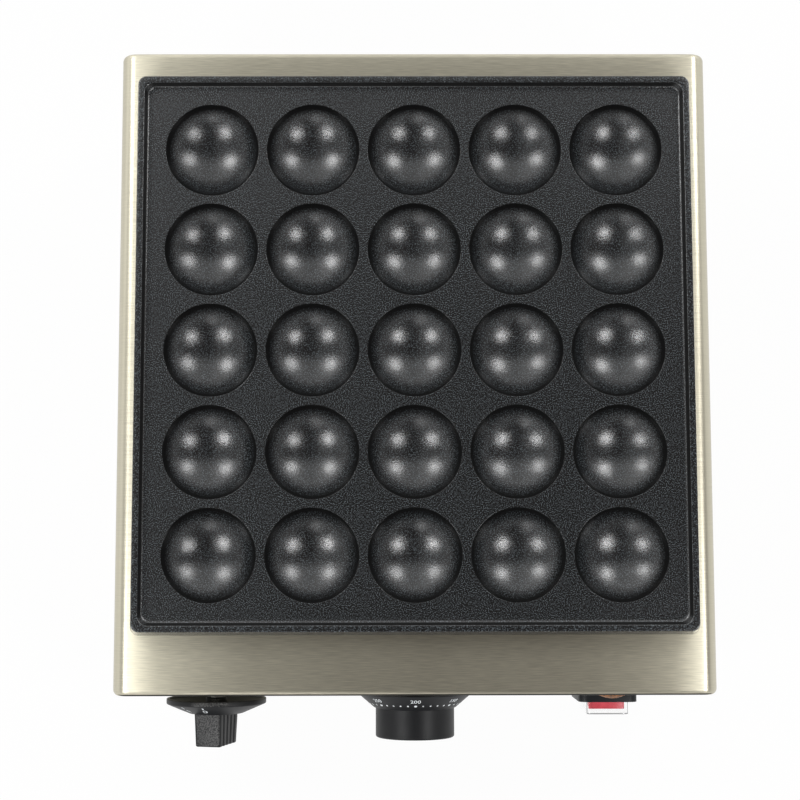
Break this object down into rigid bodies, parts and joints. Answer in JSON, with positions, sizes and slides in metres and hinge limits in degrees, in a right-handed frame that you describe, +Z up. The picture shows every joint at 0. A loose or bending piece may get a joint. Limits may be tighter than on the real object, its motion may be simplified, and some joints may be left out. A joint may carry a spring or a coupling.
{
  "type": "mini pancake maker",
  "caption": "Countertop electric mini pancake maker: cast plate of round bowls in a folded steel casing, with a timer knob, a thermostat knob, a rocker switch and a pilot lamp.",
  "frame": {"origin": "on the table, under the middle of the machine's outer box", "axes": "+Z up, the control panel faces -Y, +X to the right for someone who faces the panel"},
  "size_m": [0.2992, 0.3626, 0.1568],
  "materials": {
    "non_stick_coating": "cast aluminium under a black speckled non-stick coating",
    "brushed_steel": "stainless sheet brushed along the machine's width",
    "plain_steel": "plain galvanised sheet",
    "zinc_plated": "bright zinc plating",
    "element_sheath": "heat-darkened steel sheath",
    "ceramic_fibre": "soft white fibre",
    "knob_plastic": "matte moulded black",
    "housing_plastic": "satin moulded black",
    "copper": "drawn copper",
    "brass": "machined brass",
    "terminal_ceramic": "white glazed ceramic",
    "rocker_red": "glossy red",
    "clear_boot": "clear soft moulding",
    "amber_lens": "glossy amber lens",
    "rubber": "matte black rubber",
    "brown_wire": "brown insulation",
    "blue_wire": "blue insulation",
    "earth_wire": "green and yellow insulation"
  },
  "bodies": {
    "machine": {"baking_plate": "non_stick_coating", "casing_shell": "brushed_steel", "base_plate": "plain_steel", "base_screw_1": "zinc_plated", "base_screw_2": "zinc_plated", "base_screw_3": "zinc_plated", "base_screw_4": "zinc_plated", "foot_1": "rubber", "foot_2": "rubber", "foot_3": "rubber", "foot_4": "rubber", "foot_screw_1": "zinc_plated", "foot_screw_2": "zinc_plated", "foot_screw_3": "zinc_plated", "foot_screw_4": "zinc_plated", "foot_nut_1": "zinc_plated", "foot_nut_2": "zinc_plated", "foot_nut_3": "zinc_plated", "foot_nut_4": "zinc_plated", "heating_element": "element_sheath", "element_clamp_plate": "zinc_plated", "insulation_blanket": "ceramic_fibre", "heat_shield": "zinc_plated", "plate_bolt_1": "zinc_plated", "plate_bolt_2": "zinc_plated", "plate_bolt_3": "zinc_plated", "plate_bolt_4": "zinc_plated", "thermostat_bulb": "copper", "thermostat_capillary": "copper", "thermostat_body": "terminal_ceramic", "thermostat_screw_1": "zinc_plated", "thermostat_screw_2": "zinc_plated", "timer_body": "housing_plastic", "timer_nut": "zinc_plated", "switch_body": "housing_plastic", "switch_frame": "housing_plastic", "switch_boot": "clear_boot", "pilot_lamp_lens": "amber_lens", "pilot_lamp_body": "housing_plastic", "pilot_lamp_clip": "zinc_plated", "cord_gland": "housing_plastic", "gland_nut": "housing_plastic", "earth_stud": "brass", "earth_nut": "brass", "terminal_block": "terminal_ceramic", "live_wire": "brown_wire", "neutral_wire": "blue_wire", "switched_wire": "brown_wire", "timer_wire": "brown_wire", "element_wire_left": "brown_wire", "element_wire_right": "blue_wire", "earth_wire": "earth_wire", "lamp_lead": "brown_wire"},
    "timer": {"timer_knob": "knob_plastic", "timer_shaft": "zinc_plated"},
    "thermostat": {"thermostat_knob": "knob_plastic", "thermostat_shaft": "zinc_plated"},
    "rocker": {"switch_rocker": "rocker_red"}
  },
  "joints": [
    {"name": "timer_turn", "type": "hinge", "parent": "machine", "child": "timer", "pos_m": [-0.1013, -0.15315, 0.0995], "axis": [0, 1, 0], "range_deg": [0, 180]},
    {"name": "thermostat_turn", "type": "hinge", "parent": "machine", "child": "thermostat", "pos_m": [0.0004, -0.15315, 0.0995], "axis": [0, 1, 0], "range_deg": [-170, 100]},
    {"name": "rocker_tilt", "type": "hinge", "parent": "machine", "child": "rocker", "pos_m": [0.0977, -0.15215, 0.0965], "axis": [-1, 0, 0], "range_deg": [0, 20]}
  ]
}
